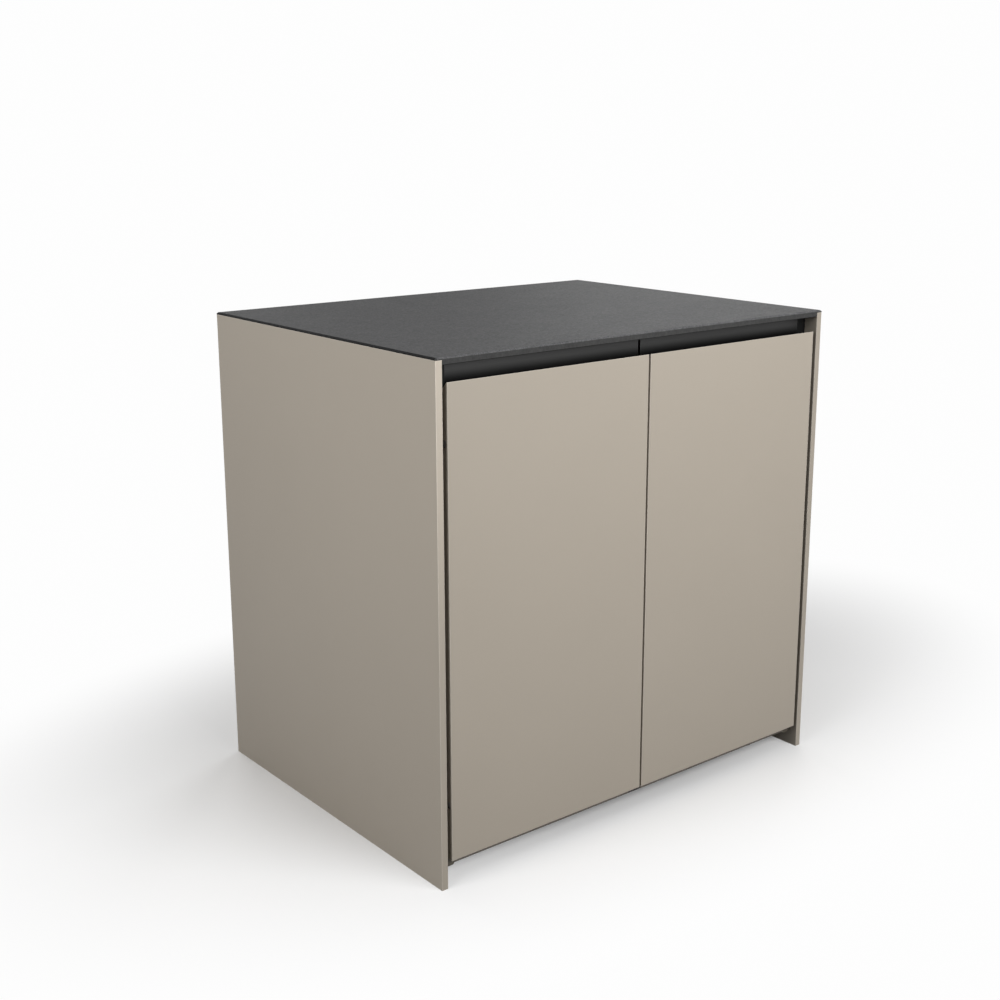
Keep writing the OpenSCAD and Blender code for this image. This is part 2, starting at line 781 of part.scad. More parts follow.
hinge_cup(LEFT, UPPER);  // hinge_cup_left_upper
hinge_cup(RIGHT, LOWER);  // hinge_cup_right_lower
hinge_cup(RIGHT, UPPER);  // hinge_cup_right_upper
hinge_arm(LEFT, LOWER);  // hinge_arm_left_lower
hinge_arm(LEFT, UPPER);  // hinge_arm_left_upper
hinge_arm(RIGHT, LOWER);  // hinge_arm_right_lower
hinge_arm(RIGHT, UPPER);  // hinge_arm_right_upper
hinge_plates(LEFT);  // hinge_plates_left
hinge_plates(RIGHT);  // hinge_plates_right
hinge_pins(LEFT);  // hinge_pins_left
hinge_pins(RIGHT);  // hinge_pins_right
foot(LEFT, FRONT, INNER);  // foot_left_front_inner
foot(LEFT, FRONT, OUTER);  // foot_left_front_outer
foot(LEFT, REAR, INNER);  // foot_left_rear_inner
foot(LEFT, REAR, OUTER);  // foot_left_rear_outer
foot(RIGHT, FRONT, INNER);  // foot_right_front_inner
foot(RIGHT, FRONT, OUTER);  // foot_right_front_outer
foot(RIGHT, REAR, INNER);  // foot_right_rear_inner
foot(RIGHT, REAR, OUTER);  // foot_right_rear_outer
foot_sockets(LEFT);  // foot_sockets_left
foot_sockets(RIGHT);  // foot_sockets_right
foot_hole_caps(LEFT);  // foot_hole_caps_left
foot_hole_caps(RIGHT);  // foot_hole_caps_right
side_panel_screws(LEFT);  // side_panel_screws_left
side_panel_screws(RIGHT);  // side_panel_screws_right
cabinet_connectors();
back_panel_brackets();
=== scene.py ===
"""Looks of a handle-less kitchen island: finishes, small fasteners, light and camera.

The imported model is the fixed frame. Every node keeps its shape and place and gets a procedural
finish here, and the screws that hold the hinges and brackets are modelled around it. All lengths
are metres: +X runs along the front, +Y to the back and +Z up, from the floor under the middle.
"""

from __future__ import annotations

import logging
import math
from abc import ABC, abstractmethod
from dataclasses import dataclass, field
from enum import Enum
from typing import Any, ClassVar, Sequence

import bmesh
import bpy
from mathutils import Matrix, Vector

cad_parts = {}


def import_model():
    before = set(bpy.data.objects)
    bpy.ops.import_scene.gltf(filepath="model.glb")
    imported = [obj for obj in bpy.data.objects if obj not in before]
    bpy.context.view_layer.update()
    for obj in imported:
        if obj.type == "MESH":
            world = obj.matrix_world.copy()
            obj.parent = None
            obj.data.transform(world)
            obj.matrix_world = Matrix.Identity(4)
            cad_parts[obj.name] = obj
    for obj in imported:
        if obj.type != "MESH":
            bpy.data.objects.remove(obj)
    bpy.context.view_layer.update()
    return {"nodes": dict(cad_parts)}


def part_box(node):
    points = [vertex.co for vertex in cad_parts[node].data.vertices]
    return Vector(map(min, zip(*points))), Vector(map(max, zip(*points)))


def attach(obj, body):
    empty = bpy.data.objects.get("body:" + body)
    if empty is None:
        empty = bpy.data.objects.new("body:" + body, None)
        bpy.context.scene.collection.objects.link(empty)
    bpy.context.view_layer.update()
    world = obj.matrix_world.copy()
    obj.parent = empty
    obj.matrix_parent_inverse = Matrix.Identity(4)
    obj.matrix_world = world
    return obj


LOG = logging.getLogger("island")

Colour = tuple[float, float, float]
Pair = tuple[float, float]
Triple = tuple[float, float, float]
Socket = bpy.types.NodeSocket

MM = 0.001
# Short distance over which one tone of a face passes into the next.
SOFT = 0.1 * MM
# Mean of a noise texture, and the factor that widens its swing of 0.5 to either side to 1.
NOISE_MIDDLE = 0.5
NOISE_SPAN = 2.0

# Steps of the display curve that linear() undoes.
SRGB_TOE_END = 0.04045
SRGB_TOE_SLOPE = 12.92
SRGB_OFFSET = 0.055
SRGB_POWER = 2.4

WHITE = (1.0, 1.0, 1.0, 1.0)


class Side(Enum):
    """Cabinet that a piece belongs to, with the sign of its X."""

    LEFT = ("left", -1)
    RIGHT = ("right", 1)

    @property
    def label(self) -> str:
        """Word that names in the frame use for the side."""
        return self.value[0]

    @property
    def sign(self) -> int:
        """Sign of X on that side."""
        return self.value[1]


class Level(Enum):
    """Upper or lower hinge of a door."""

    LOWER = "lower"
    UPPER = "upper"


def linear(colour: Colour) -> tuple[float, float, float, float]:
    """Turn a display colour into the linear one that a shader takes.

    Args:
        colour: Red, green and blue from 0 to 1, as a screen shows them.

    Returns:
        The linear colour with an alpha of 1.
    """
    def decode(value: float) -> float:
        """Undo the display curve of one channel."""
        if value <= SRGB_TOE_END:
            return value / SRGB_TOE_SLOPE
        return ((value + SRGB_OFFSET) / (1 + SRGB_OFFSET)) ** SRGB_POWER

    return (decode(colour[0]), decode(colour[1]), decode(colour[2]), 1.0)


@dataclass(frozen=True)
class Grain:
    """Detail and roughness of a noise texture."""

    detail: float
    roughness: float


@dataclass(frozen=True)
class Mottle:
    """Scales and amounts of a surface's clouds and specks."""

    cloud_scale: float
    cloud_amount: float
    speck_scale: float
    speck_amount: float


@dataclass(frozen=True)
class Skin:
    """Fine relief of a sprayed, sawn or moulded surface."""

    scale: float
    grit: float
    depth: float
    strength: float


@dataclass(frozen=True)
class Brush:
    """Fine lines that drawing or brushing leaves in metal."""

    stretch: Triple
    scale: float
    strength: float
    depth: float = 0.02 * MM


@dataclass(frozen=True)
class Box:
    """Two opposite corners of a node at rest."""

    low: Vector
    high: Vector

    @classmethod
    def of(cls, node: str) -> Box:
        """Read a node's box from the frame.

        Args:
            node: Name of the node.

        Returns:
            Its box.
        """
        return cls(*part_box(node))


class Sheet:
    """Short way to lay out the nodes of a material or a node group."""

    # A Mix node has one set of sockets for each data type. These are its factor and its colours.
    MIX_INPUTS = (0, 6, 7)
    MIX_RESULT = 2

    def __init__(self, tree: bpy.types.NodeTree) -> None:
        """Keep the tree that the nodes go into."""
        self.tree = tree

    def fill(self, socket: Socket, value: Any) -> None:
        """Link an input to another node, or set it to a plain value.

        Args:
            socket: The input.
            value: Output socket or plain value.
        """
        if isinstance(value, bpy.types.NodeSocket):
            self.tree.links.new(value, socket)
        else:
            socket.default_value = value

    def node(self, kind: str, props: dict[str, Any] | None = None, **inputs: Any) -> bpy.types.Node:
        """Add a node, set its properties and fill or link its inputs.

        Args:
            kind: Blender's name of the node type, without the ShaderNode prefix.
            props: Properties of the node itself.
            **inputs: Input sockets by name, with _ for a space, or i0, i1 for an index.

        Returns:
            The new node.
        """
        made = self.tree.nodes.new("ShaderNode" + kind)
        for name, value in (props or {}).items():
            setattr(made, name, value)
        for name, value in inputs.items():
            if name[0] == "i" and name[1:].isdigit():
                self.fill(made.inputs[int(name[1:])], value)
            else:
                self.fill(made.inputs[name.replace("_", " ")], value)
        return made

    def maths(self, operation: str, *values: Any) -> Socket:
        """Add a Math node.

        Args:
            operation: Name of the operation, such as MULTIPLY.
            *values: Sockets or numbers for its inputs.

        Returns:
            The node's output.
        """
        inputs = {f"i{index}": value for index, value in enumerate(values)}
        return self.node("Math", {"operation": operation}, **inputs).outputs[0]

    def vector_maths(self, operation: str, first: Any, second: Any,
                     output: int | str = 0) -> Socket:
        """Add a Vector Math node.

        Args:
            operation: Name of the operation, such as SUBTRACT.
            first: Socket or vector.
            second: Socket or vector.
            output: Output to read.

        Returns:
            That output.
        """
        made = self.node("VectorMath", {"operation": operation}, i0=first, i1=second)
        return made.outputs[output]

    def step(self, value: Socket, low: float | Socket, high: float | Socket,
             to_low: float = 0.0, to_high: float = 1.0) -> Socket:
        """Map a value smoothly from one range to another.

        Args:
            value: What is mapped.
            low: Where the result is to_low.
            high: Where the result is to_high.
            to_low: Result at and below low.
            to_high: Result at and above high.

        Returns:
            The mapped value.
        """
        made = self.node("MapRange", {"interpolation_type": "SMOOTHSTEP"}, Value=value,
                         From_Min=low, From_Max=high, To_Min=to_low, To_Max=to_high)
        return made.outputs[0]

    def noise(self, vector: Socket, scale: float | Socket, grain: Grain) -> Socket:
        """Add a noise texture.

        Args:
            vector: Coordinates.
            scale: Scale of the texture.
            grain: Its detail and roughness.

        Returns:
            Its grey value.
        """
        return self.node("TexNoise", Vector=vector, Scale=scale, Detail=grain.detail,
                         Roughness=grain.roughness).outputs["Fac"]

    def swing(self, value: Socket, amount: float | Socket) -> Socket:
        """Turn a noise value into a swing around 0.

        Args:
            value: Grey value of a noise texture.
            amount: Factor of the swing.

        Returns:
            The swing.
        """
        return self.maths("MULTIPLY", self.maths("SUBTRACT", value, NOISE_MIDDLE), amount)

    def weighted(self, first: Socket, second: Socket, share: float) -> Socket:
        """Add up two grey values by their shares.

        Args:
            first: First value.
            second: Second value.
            share: Share of the first value. The second has the rest.

        Returns:
            The sum.
        """
        return self.maths("ADD", self.maths("MULTIPLY", first, share),
                          self.maths("MULTIPLY", second, 1.0 - share))

    def rest(self, value: Socket) -> Socket:
        """Give what is left of 1 after a value."""
        return self.maths("SUBTRACT", 1.0, value)

    def mix(self, factor: Any, first: Any, second: Any, blend: str = "MIX") -> Socket:
        """Blend two colours.

        Args:
            factor: Share of the second colour.
            first: Colour or socket.
            second: Colour or socket.
            blend: Name of the blend type.

        Returns:
            The blended colour.
        """
        made = self.node("Mix", {"data_type": "RGBA", "blend_type": blend})
        for index, value in zip(self.MIX_INPUTS, (factor, first, second)):
            self.fill(made.inputs[index], value)
        return made.outputs[self.MIX_RESULT]

    def scaled(self, vector: Socket, scale: Triple) -> Socket:
        """Stretch coordinates, so that a pattern draws out along an axis.

        Args:
            vector: Coordinates.
            scale: Factor of each axis.

        Returns:
            The stretched coordinates.
        """
        return self.node("Mapping", Vector=vector, Scale=scale).outputs[0]

    def axes(self, vector: Socket) -> Sequence[Socket]:
        """Take coordinates apart into X, Y and Z."""
        return self.node("SeparateXYZ", Vector=vector).outputs


class EffectGroups:
    """Shader node groups that several finishes share, each built once."""

    CLOUD = Grain(3.0, 0.55)
    SPECK = Grain(1.0, 0.6)
    WAVE = Grain(1.0, 0.4)
    GRIT = Grain(2.0, 0.6)
    GRIT_FACTOR = 3.7
    FINE_LINE = Grain(2.0, 0.7)
    BROAD_LINE = Grain(2.0, 0.5)
    BROAD_FACTOR = 0.23
    FINE_SHARE = 0.65
    SMEAR = Grain(4.0, 0.6)
    SMEAR_SCALE = 14.0
    SMEAR_SHARE = 0.6
    WIPE = Grain(3.0, 0.6)
    WIPE_SCALE = 5.0
    WIPE_STRETCH = (3.0, 3.0, 40.0)

    def __init__(self) -> None:
        """Build every group."""
        self.mottle = self._mottle()
        self.edge = self._edge()
        self.peel = self._peel()
        self.drawn = self._drawn()
        self.handled = self._handled()

    @staticmethod
    def _start(name: str, output: str, numbers: Sequence[str],
               vectors: Sequence[str] = ()) -> tuple[Sheet, Any]:
        """Start a group with its sockets.

        Args:
            name: Name of the group.
            output: Name of its grey output.
            numbers: Names of its number inputs.
            vectors: Names of its vector inputs beside the coordinates.

        Returns:
            A sheet on the group and the group's inputs by name.
        """
        tree = bpy.data.node_groups.new(name, "ShaderNodeTree")
        kinds = dict.fromkeys(("Vector", *vectors), "NodeSocketVector")
        kinds.update(dict.fromkeys(numbers, "NodeSocketFloat"))
        for label, kind in kinds.items():
            tree.interface.new_socket(label, in_out="INPUT", socket_type=kind)
        tree.interface.new_socket(output, in_out="OUTPUT", socket_type="NodeSocketFloat")
        return Sheet(tree), tree.nodes.new("NodeGroupInput").outputs

    @staticmethod
    def _end(sheet: Sheet, value: Socket) -> bpy.types.NodeTree:
        """Link a group's result to its output.

        Args:
            sheet: Sheet on the group.
            value: The result.

        Returns:
            The group.
        """
        sheet.fill(sheet.tree.nodes.new("NodeGroupOutput").inputs[0], value)
        return sheet.tree

    def _mottle(self) -> bpy.types.NodeTree:
        """Cloudy and speckled change of tone around 1.

        Returns:
            The group.
        """
        sheet, enter = self._start("tone_mottle", "Tone", (
            "Cloud Scale", "Cloud Amount", "Speck Scale", "Speck Amount"))
        cloud = sheet.noise(enter["Vector"], enter["Cloud Scale"], self.CLOUD)
        speck = sheet.noise(enter["Vector"], enter["Speck Scale"], self.SPECK)
        total = sheet.maths("ADD", sheet.swing(cloud, enter["Cloud Amount"]),
                            sheet.swing(speck, enter["Speck Amount"]))
        wide = sheet.maths("MULTIPLY", total, NOISE_SPAN)
        return self._end(sheet, sheet.maths("ADD", wide, 1.0))

    def _edge(self) -> bpy.types.NodeTree:
        """Mask of a board's edges, from its two opposite corners.

        Returns:
            The group.
        """
        sheet, enter = self._start("board_edge", "Mask", ("Width",), ("Low", "High"))
        below = sheet.vector_maths("SUBTRACT", enter["Vector"], enter["Low"])
        above = sheet.vector_maths("SUBTRACT", enter["High"], enter["Vector"])
        axes = sheet.axes(sheet.vector_maths("MINIMUM", below, above))
        low_xy = sheet.maths("MINIMUM", axes[0], axes[1])
        high_xy = sheet.maths("MAXIMUM", axes[0], axes[1])
        second = sheet.maths("MAXIMUM", low_xy, sheet.maths("MINIMUM", high_xy, axes[2]))
        return self._end(sheet, sheet.step(second, 0.0, enter["Width"], 1.0, 0.0))

    def _peel(self) -> bpy.types.NodeTree:
        """Fine height of a sprayed or moulded skin.

        Returns:
            The group.
        """
        sheet, enter = self._start("skin_height", "Height", ("Scale", "Grit"))
        wave = sheet.noise(enter["Vector"], enter["Scale"], self.WAVE)
        fine_scale = sheet.maths("MULTIPLY", enter["Scale"], self.GRIT_FACTOR)
        grit = sheet.noise(enter["Vector"], fine_scale, self.GRIT)
        gritty = sheet.maths("MULTIPLY", grit, enter["Grit"])
        return self._end(sheet, sheet.maths("ADD", wave, gritty))

    def _drawn(self) -> bpy.types.NodeTree:
        """Fine lines of drawn or brushed metal, along the stretched coordinates.

        Returns:
            The group.
        """
        sheet, enter = self._start("drawn_lines", "Lines", ("Scale",))
        fine = sheet.noise(enter["Vector"], enter["Scale"], self.FINE_LINE)
        broad_scale = sheet.maths("MULTIPLY", enter["Scale"], self.BROAD_FACTOR)
        broad = sheet.noise(enter["Vector"], broad_scale, self.BROAD_LINE)
        return self._end(sheet, sheet.weighted(fine, broad, self.FINE_SHARE))

    def _handled(self) -> bpy.types.NodeTree:
        """Roughness that hands and cleaning leave: faint clouds and wipe marks.

        Returns:
            The group.
        """
        sheet, enter = self._start("handled_roughness", "Roughness", ("Base", "Spread"))
        smear = sheet.noise(enter["Vector"], self.SMEAR_SCALE, self.SMEAR)
        along = sheet.scaled(enter["Vector"], self.WIPE_STRETCH)
        wipe = sheet.noise(along, self.WIPE_SCALE, self.WIPE)
        swing = sheet.swing(sheet.weighted(smear, wipe, self.SMEAR_SHARE), enter["Spread"])
        wide = sheet.maths("MULTIPLY", swing, NOISE_SPAN)
        return self._end(sheet, sheet.maths("ADD", wide, enter["Base"]))


@dataclass
class Material:
    """A new material with its Principled shader and object coordinates at hand."""

    name: str
    groups: EffectGroups
    made: bpy.types.Material = field(init=False)
    sheet: Sheet = field(init=False)
    shader: bpy.types.Node = field(init=False)
    place: Socket = field(init=False)

    def __post_init__(self) -> None:
        """Create the material and its first nodes."""
        self.made = bpy.data.materials.new(self.name)
        self.made.use_nodes = True
        tree = self.made.node_tree
        tree.nodes.clear()
        self.sheet = Sheet(tree)
        self.shader = self.sheet.node("BsdfPrincipled")
        self.sheet.node("OutputMaterial", Surface=self.shader.outputs[0])
        self.place = self.sheet.node("TexCoord").outputs["Object"]

    def set(self, **inputs: Any) -> None:
        """Fill or link inputs of the Principled shader.

        Args:
            **inputs: Inputs by name, with _ for a space.
        """
        for name, value in inputs.items():
            self.sheet.fill(self.shader.inputs[name.replace("_", " ")], value)

    def group(self, tree: bpy.types.NodeTree, **inputs: Any) -> Socket:
        """Place a node group on the object's coordinates.

        Args:
            tree: The group.
            **inputs: Its other inputs by name, with _ for a space.

        Returns:
            Its output.
        """
        inputs.setdefault("Vector", self.place)
        return self.sheet.node("Group", {"node_tree": tree}, **inputs).outputs[0]

    def mottled(self, mottle: Mottle) -> Socket:
        """Tone of clouds and specks."""
        return self.group(self.groups.mottle,
                          Cloud_Scale=mottle.cloud_scale, Cloud_Amount=mottle.cloud_amount,
                          Speck_Scale=mottle.speck_scale, Speck_Amount=mottle.speck_amount)

    def handled(self, base: float, spread: float) -> Socket:
        """Roughness around a base value."""
        return self.group(self.groups.handled, Base=base, Spread=spread)

    def lines(self, stretch: Triple, scale: float) -> Socket:
        """Fine lines along the axes with a small stretch factor."""
        return self.group(self.groups.drawn, Vector=self.sheet.scaled(self.place, stretch),
                          Scale=scale)

    def toned(self, colour: Any, *tones: Socket) -> Socket:
        """Multiply a colour by grey tones.

        Args:
            colour: Colour or socket.
            *tones: The tones.

        Returns:
            The toned colour.
        """
        for tone in tones:
            colour = self.sheet.mix(1.0, colour, tone, "MULTIPLY")
        return colour

    def bump(self, height: Socket, depth: float, strength: float) -> None:
        """Turn a height into the shader's normal.

        Args:
            height: Grey height.
            depth: What a height of 1 stands for, in metres.
            strength: Share of the effect.
        """
        made = self.sheet.node("Bump", Height=height, Distance=depth, Strength=strength)
        self.set(Normal=made.outputs["Normal"])

    def relief(self, skin: Skin) -> None:
        """Give the shader the fine relief of a skin."""
        height = self.group(self.groups.peel, Scale=skin.scale, Grit=skin.grit)
        self.bump(height, skin.depth, skin.strength)


class Finish(ABC):
    """Look of one kind of piece."""

    PREFIX: ClassVar[str]

    def build(self, groups: EffectGroups, name: str, box: Box) -> bpy.types.Material:
        """Make the finish for one piece.

        Args:
            groups: Shared effects.
            name: Name of the piece.
            box: The piece's corners.

        Returns:
            The material.
        """
        mat = Material(f"{self.PREFIX}_{name}", groups)
        self.paint(mat, box)
        return mat.made

    @abstractmethod
    def paint(self, mat: Material, box: Box) -> None:
        """Set up the material's nodes.

        Args:
            mat: The new material.
            box: The piece's corners.
        """


@dataclass(frozen=True)
class Lacquer(Finish):
    """Warm taupe matt lacquer on board, with eased edges that carry a painted highlight: every edge
    is a little lighter.
    """

    PREFIX = "lacquer"

    colour: Colour = (0.703, 0.667, 0.616)
    # Colour of the painted highlight along every edge, and the width of that band.
    edge_colour: Colour = (0.775, 0.745, 0.700)
    edge_width: float = 1.5 * MM
    roughness: float = 0.50
    spread: float = 0.05
    specular: float = 0.30
    mottle: Mottle = Mottle(5.0, 0.022, 700.0, 0.035)
    skin: Skin = Skin(420.0, 0.25, 0.04 * MM, 0.5)

    def paint(self, mat: Material, box: Box) -> None:
        """Set up the material's nodes.

        Args:
            mat: The board's material.
            box: The board's corners.
        """
        # Painted highlight: the board's colour turns lighter along every edge, as where an eased
        # arris catches light.
        edge = mat.group(mat.groups.edge, Low=box.low, High=box.high, Width=self.edge_width)
        base = mat.sheet.mix(edge, linear(self.colour), linear(self.edge_colour))
        base = mat.toned(base, *self.face_tones(mat, box), mat.mottled(self.mottle))
        mat.set(Base_Color=base, Roughness=mat.handled(self.roughness, self.spread),
                Specular_IOR_Level=self.specular)
        mat.relief(self.skin)

    def face_tones(self, mat: Material, box: Box) -> Sequence[Socket]:
        """Tones of single faces, none on a plain board.

        Args:
            mat: The board's material. Not used here.
            box: The board's corners. Not used here.

        Returns:
            The tones.
        """
        return ()


@dataclass(frozen=True)
class SidePanelLacquer(Lacquer):
    """Lacquer of a side panel, with painted light on the front edge and painted shade on the inner
    face.
    """

    # Painted light on the front edge: its gain toward the top, the heights over which it comes in,
    # and how far it reaches in from the front.
    front_gain: float = 1.0
    front_heights: Pair = (0.35, 0.90)
    front_soft: Pair = (0.5 * MM, 1.0 * MM)
    # Painted shade on the inner face: its tone low and high, the heights of the two, and how far it
    # reaches off the face.
    backing: Pair = (0.62, 0.58)
    backing_heights: Pair = (0.04, 0.30)
    backing_soft: Pair = (0.2 * MM, 0.6 * MM)

    def face_tones(self, mat: Material, box: Box) -> Sequence[Socket]:
        """Painted light on the front edge and painted shade on the inner face."""
        return self._front(mat, box), self._backing(mat, box)

    def _front(self, mat: Material, box: Box) -> Socket:
        """Painted light on the front edge toward the panel's upper end: a gain above 1 paints a
        highlight there, a gain below 1 paints shade.

        Args:
            mat: The panel's material.
            box: The panel's corners.

        Returns:
            Tone around 1.
        """
        axes = mat.sheet.axes(mat.place)
        start, end = self.front_soft
        edge = mat.sheet.step(axes[1], box.low.y + start, box.low.y + end, 1.0, 0.0)
        # Painted light: the front edge's tone rises with height to the gain.
        rise = mat.sheet.step(axes[2], *self.front_heights, 0.0, self.front_gain - 1.0)
        return mat.sheet.maths("ADD", mat.sheet.maths("MULTIPLY", edge, rise), 1.0)

    def _backing(self, mat: Material, box: Box) -> Socket:
        """Painted shade on the inner face, a little less dark near the floor.

        Args:
            mat: The panel's material.
            box: The panel's corners.

        Returns:
            Tone of 1 or less.
        """
        axes = mat.sheet.axes(mat.place)
        inner = box.low.x if box.low.x > 0 else box.high.x
        off = mat.sheet.maths("ABSOLUTE", mat.sheet.maths("SUBTRACT", axes[0], inner))
        face = mat.sheet.step(off, *self.backing_soft, 1.0, 0.0)
        # Painted shade: the inner face darkened where it lies in the recess beside the doors.
        shade_level = mat.sheet.step(axes[2], *self.backing_heights, *self.backing)
        return mat.sheet.rest(mat.sheet.maths("MULTIPLY", face, mat.sheet.rest(shade_level)))


@dataclass(frozen=True)
class Slab(Finish):
    """Fine-grained anthracite slab with sawn sides, a painted highlight on its front bevel and
    painted shade on its ends and along its lower edge.
    """

    PREFIX = "slab"

    colour: Colour = (0.285, 0.285, 0.288)
    fleck: Colour = (0.39, 0.39, 0.39)
    fleck_grain: Grain = Grain(2.0, 0.7)
    fleck_scale: float = 900.0
    fleck_levels: Pair = (0.62, 0.74)
    fleck_share: float = 0.45
    core: Colour = (0.277, 0.277, 0.276)
    fine: Mottle = Mottle(26.0, 0.12, 330.0, 0.72)
    broad: Mottle = Mottle(3.5, 0.08, 120.0, 0.36)
    bevel: float = 2.5 * MM
    # Gain of the painted highlight on the front bevel.
    arris_gain: float = 0.90
    # Share of the painted shade on the two ends, and how far in from each end it reaches.
    end_loss: float = 0.83
    end_reach: float = 1.4 * MM
    side_calm: float = 0.68
    saw_stretch: Triple = (1.0, 1.0, 0.08)
    saw_scale: float = 700.0
    saw_amount: float = 0.5
    # Painted shade along the slab's lower edge: its tone, and the height of the strip.
    foot_tone: float = 0.35
    foot_reach: float = 1.3 * MM
    roughness: float = 0.60
    spread: float = 0.07
    specular: float = 0.027
    skin: Skin = Skin(900.0, 0.8, 0.06 * MM, 0.55)

    def paint(self, mat: Material, box: Box) -> None:
        """Set up the material's nodes.

        Args:
            mat: The slab's material.
            box: The slab's corners.
        """
        sheet = mat.sheet
        height = sheet.axes(mat.place)[2]
        bevel_foot = box.high.z - self.bevel
        side = sheet.step(height, bevel_foot - SOFT, bevel_foot + SOFT, 1.0, 0.0)
        flecks = sheet.step(sheet.noise(mat.place, self.fleck_scale, self.fleck_grain),
                            *self.fleck_levels)
        face = sheet.mix(sheet.maths("MULTIPLY", flecks, self.fleck_share),
                         linear(self.colour), linear(self.fleck))
        # Painted shade: a dark strip along the lower edge of the slab's faces, as in the shadow
        # joint above the grip channel.
        foot = sheet.step(height, box.low.z + self.foot_reach / 2, box.low.z + self.foot_reach,
                          self.foot_tone, 1.0)
        base = mat.toned(sheet.mix(side, face, linear(self.core)), self._mottle_tone(mat, side),
                         self._saw_tone(mat, side), self._arris_tone(mat, box, side), foot)
        mat.set(Base_Color=base, Roughness=mat.handled(self.roughness, self.spread),
                Specular_IOR_Level=self.specular)
        mat.relief(self.skin)

    def _mottle_tone(self, mat: Material, side: Socket) -> Socket:
        """Tone of the stone's clouds and specks, which are calmer on the sawn sides.

        Args:
            mat: The slab's material.
            side: Mask of the upright faces.

        Returns:
            Tone around 1.
        """
        sheet = mat.sheet
        mottle = sheet.maths("MULTIPLY", mat.mottled(self.fine), mat.mottled(self.broad))
        calmed = sheet.maths("MULTIPLY", sheet.rest(mottle), self.side_calm)
        return sheet.maths("ADD", mottle, sheet.maths("MULTIPLY", side, calmed))

    def _saw_tone(self, mat: Material, side: Socket) -> Socket:
        """Tone of the saw marks on the upright faces.

        Args:
            mat: The slab's material.
            side: Mask of the upright faces.

        Returns:
            Tone around 1.
        """
        swing = mat.sheet.swing(mat.lines(self.saw_stretch, self.saw_scale), self.saw_amount)
        return mat.sheet.maths("ADD", mat.sheet.maths("MULTIPLY", side, swing), 1.0)

    def _arris_tone(self, mat: Material, box: Box, side: Socket) -> Socket:
        """Painted highlight on the front bevel and painted shade on the two ends.

        Args:
            mat: The slab's material.
            box: The slab's corners.
            side: Mask of the upright faces.

        Returns:
            Tone around 1.
        """
        sheet = mat.sheet
        axes = sheet.axes(mat.place)
        # Painted highlight: the front bevel lighter than the rest of the top.
        front = box.low.y + self.bevel
        bevel_light = sheet.step(axes[1], front - SOFT, front + SOFT, self.arris_gain, 0.0)
        bevel_light = sheet.maths("MULTIPLY", bevel_light, sheet.rest(side))
        # Painted shade: both ends of the slab darker, sides and upper arris alike.
        end_from = box.high.x - self.bevel - self.end_reach
        ends_shade = sheet.step(sheet.maths("ABSOLUTE", axes[0]), end_from - SOFT, end_from + SOFT,
                          0.0, self.end_loss)
        return sheet.maths("SUBTRACT", sheet.maths("ADD", bevel_light, 1.0), ends_shade)


@dataclass(frozen=True)
class Board(Finish):
    """Melamine-faced board with a fine print and a dark banded front edge, whose colour also paints
    the shade on the front edges behind and under the doors.
    """

    PREFIX = "board"

    colour: Colour = (0.560, 0.535, 0.500)
    # Colour of the front edge band, darkened so that it also paints the shade in the gaps behind
    # and under the doors.
    band: Colour = (0.20, 0.185, 0.17)
    band_t: float = 0.8 * MM
    joint: Colour = (0.30, 0.28, 0.26)
    joint_soft: Pair = (0.05 * MM, 0.2 * MM)
    joint_share: float = 0.55
    roughness: float = 0.55
    spread: float = 0.05
    specular: float = 0.4
    mottle: Mottle = Mottle(9.0, 0.03, 900.0, 0.08)
    skin: Skin = Skin(1100.0, 0.6, 0.05 * MM, 0.5)

    def paint(self, mat: Material, box: Box) -> None:
        """Set up the material's nodes.

        Args:
            mat: The board's material.
            box: The board's corners.
        """
        sheet = mat.sheet
        depth = sheet.maths("SUBTRACT", sheet.axes(mat.place)[1], box.low.y)
        banded = sheet.step(depth, self.band_t - SOFT, self.band_t, 1.0, 0.0)
        # The front edge band is real; its dark colour is partly painted shade.
        base = sheet.mix(banded, linear(self.colour), linear(self.band))
        off = sheet.maths("ABSOLUTE", sheet.maths("SUBTRACT", depth, self.band_t))
        seam = sheet.step(off, *self.joint_soft, self.joint_share, 0.0)
        base = sheet.mix(seam, base, linear(self.joint))
        mat.set(Base_Color=mat.toned(base, mat.mottled(self.mottle)),
                Roughness=mat.handled(self.roughness, self.spread),
                Specular_IOR_Level=self.specular)
        mat.relief(self.skin)


